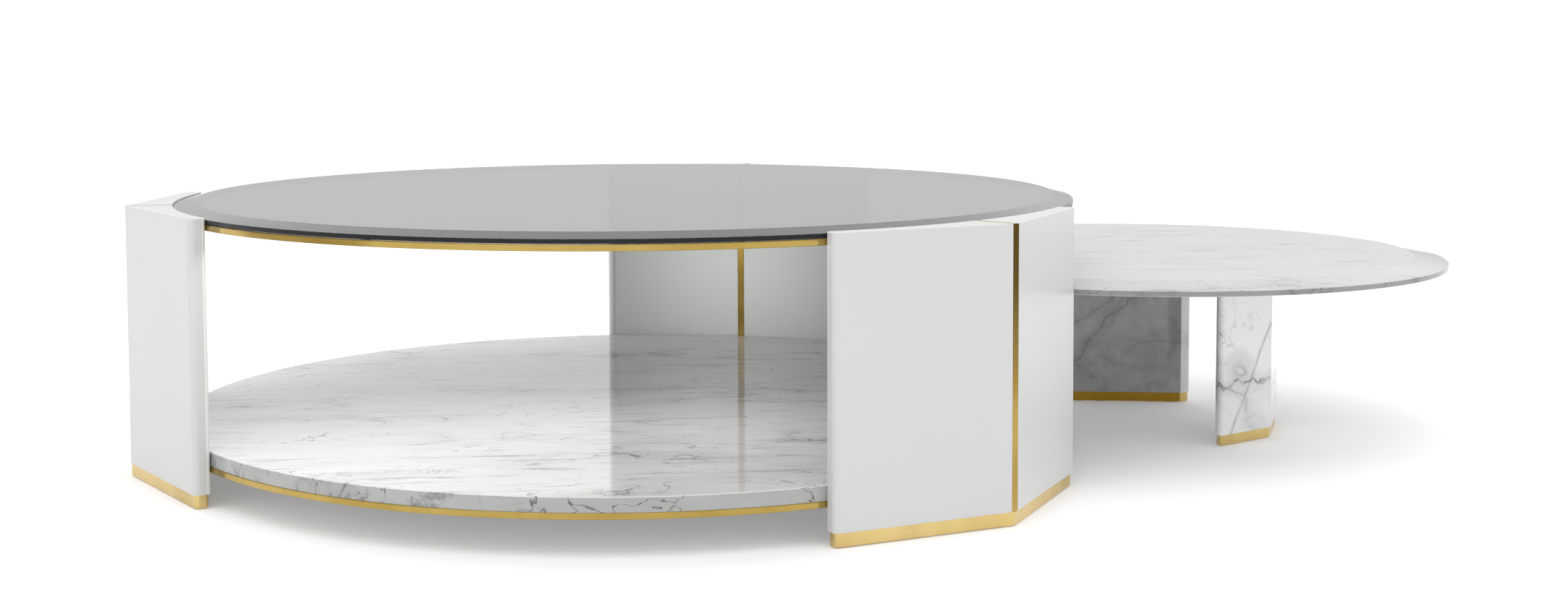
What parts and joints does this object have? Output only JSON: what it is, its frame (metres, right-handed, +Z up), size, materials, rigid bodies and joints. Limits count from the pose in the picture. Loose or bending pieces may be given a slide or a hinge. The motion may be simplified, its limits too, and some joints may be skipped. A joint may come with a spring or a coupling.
{
  "type": "nesting tables",
  "caption": "Round coffee table with smoked glass top, folded white legs with brass inlays and marble shelf, and a lower round marble table that slides in under its top.",
  "frame": {"origin": "on the floor, at the middle of the set's footprint with the small table nested as far as it goes", "axes": "+Z up; +X from the large table towards the small one; +Y towards the back leg of the large table"},
  "size_m": [1.9632, 1.3305, 0.384],
  "materials": {
    "smoked_glass": "smoked, polished, bevelled",
    "clear_pads": "clear silicone",
    "polished_brass": "polished",
    "brushed_brass": "finely brushed",
    "white_marble": "polished white marble with grey veins",
    "white_lacquer": "satin white lacquer",
    "board": "sealed plywood",
    "steel": "zinc plated",
    "glides": "dense felt"
  },
  "bodies": {
    "large_table": {"glass_top": "smoked_glass", "glass_bumpers": "clear_pads", "top_ring": "polished_brass", "top_ring_pins": "steel", "marble_shelf": "white_marble", "shelf_band": "polished_brass", "shelf_board": "board", "shelf_pins": "steel", "front_leg_left_half": "white_lacquer", "front_leg_right_half": "white_lacquer", "front_leg_inlay": "polished_brass", "front_leg_tie_rods": "steel", "front_leg_foot": "brushed_brass", "front_leg_foot_screws": "steel", "front_leg_glides": "glides", "back_leg_left_half": "white_lacquer", "back_leg_right_half": "white_lacquer", "back_leg_inlay": "polished_brass", "back_leg_tie_rods": "steel", "back_leg_foot": "brushed_brass", "back_leg_foot_screws": "steel", "back_leg_glides": "glides", "left_leg_left_half": "white_lacquer", "left_leg_right_half": "white_lacquer", "left_leg_inlay": "polished_brass", "left_leg_tie_rods": "steel", "left_leg_foot": "brushed_brass", "left_leg_foot_screws": "steel", "left_leg_glides": "glides"},
    "small_table": {"small_top": "white_marble", "small_right_leg": "white_marble", "small_back_leg": "white_marble", "small_inner_leg": "white_marble", "small_right_foot": "brushed_brass", "small_back_foot": "brushed_brass", "small_inner_foot": "brushed_brass", "small_foot_screws": "steel", "small_top_dowels": "steel", "small_glides": "glides"}
  },
  "joints": [
    {"name": "nest_slide", "type": "slide", "parent": "large_table", "child": "small_table", "axis": [0.9866, 0.1633, 0], "range_m": [0, 0.45]}
  ]
}
